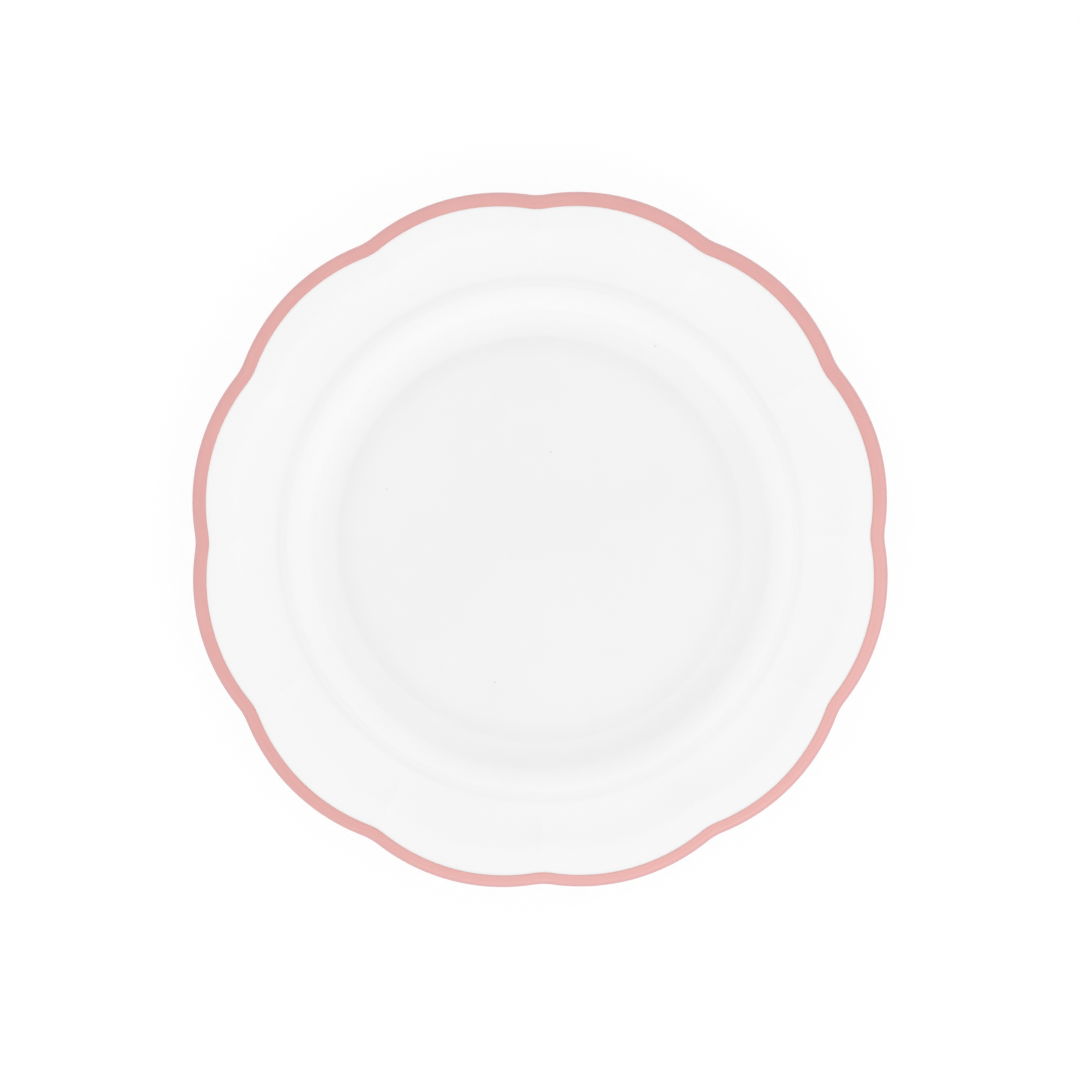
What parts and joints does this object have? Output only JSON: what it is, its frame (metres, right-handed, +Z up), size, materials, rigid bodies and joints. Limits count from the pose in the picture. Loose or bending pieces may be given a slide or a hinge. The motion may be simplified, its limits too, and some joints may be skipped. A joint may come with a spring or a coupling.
{
  "type": "scalloped dessert plate",
  "caption": "Round porcelain dessert plate with a flat well, a gently rising scalloped rim, a painted band on the lip and a foot ring, glazed all over but for the edge it stands on.",
  "frame": {"origin": "centre of the foot ring, on the surface that the plate stands on", "axes": "+Z up along the plate's axis; +X through the hollow between two lobes"},
  "size_m": [0.2168, 0.2168, 0.02],
  "materials": {
    "bare_porcelain": "fired and unglazed, fine matt grain on the bare edge of the foot ring",
    "clear_glaze": "clear gloss glaze over white porcelain",
    "pink_enamel": "dusty pink enamel, brushed on over the glaze, gloss"
  },
  "bodies": {
    "root": {"porcelain_body": "bare_porcelain", "face_glaze": "clear_glaze", "base_glaze": "clear_glaze", "rim_band": "pink_enamel"}
  },
  "joints": []
}
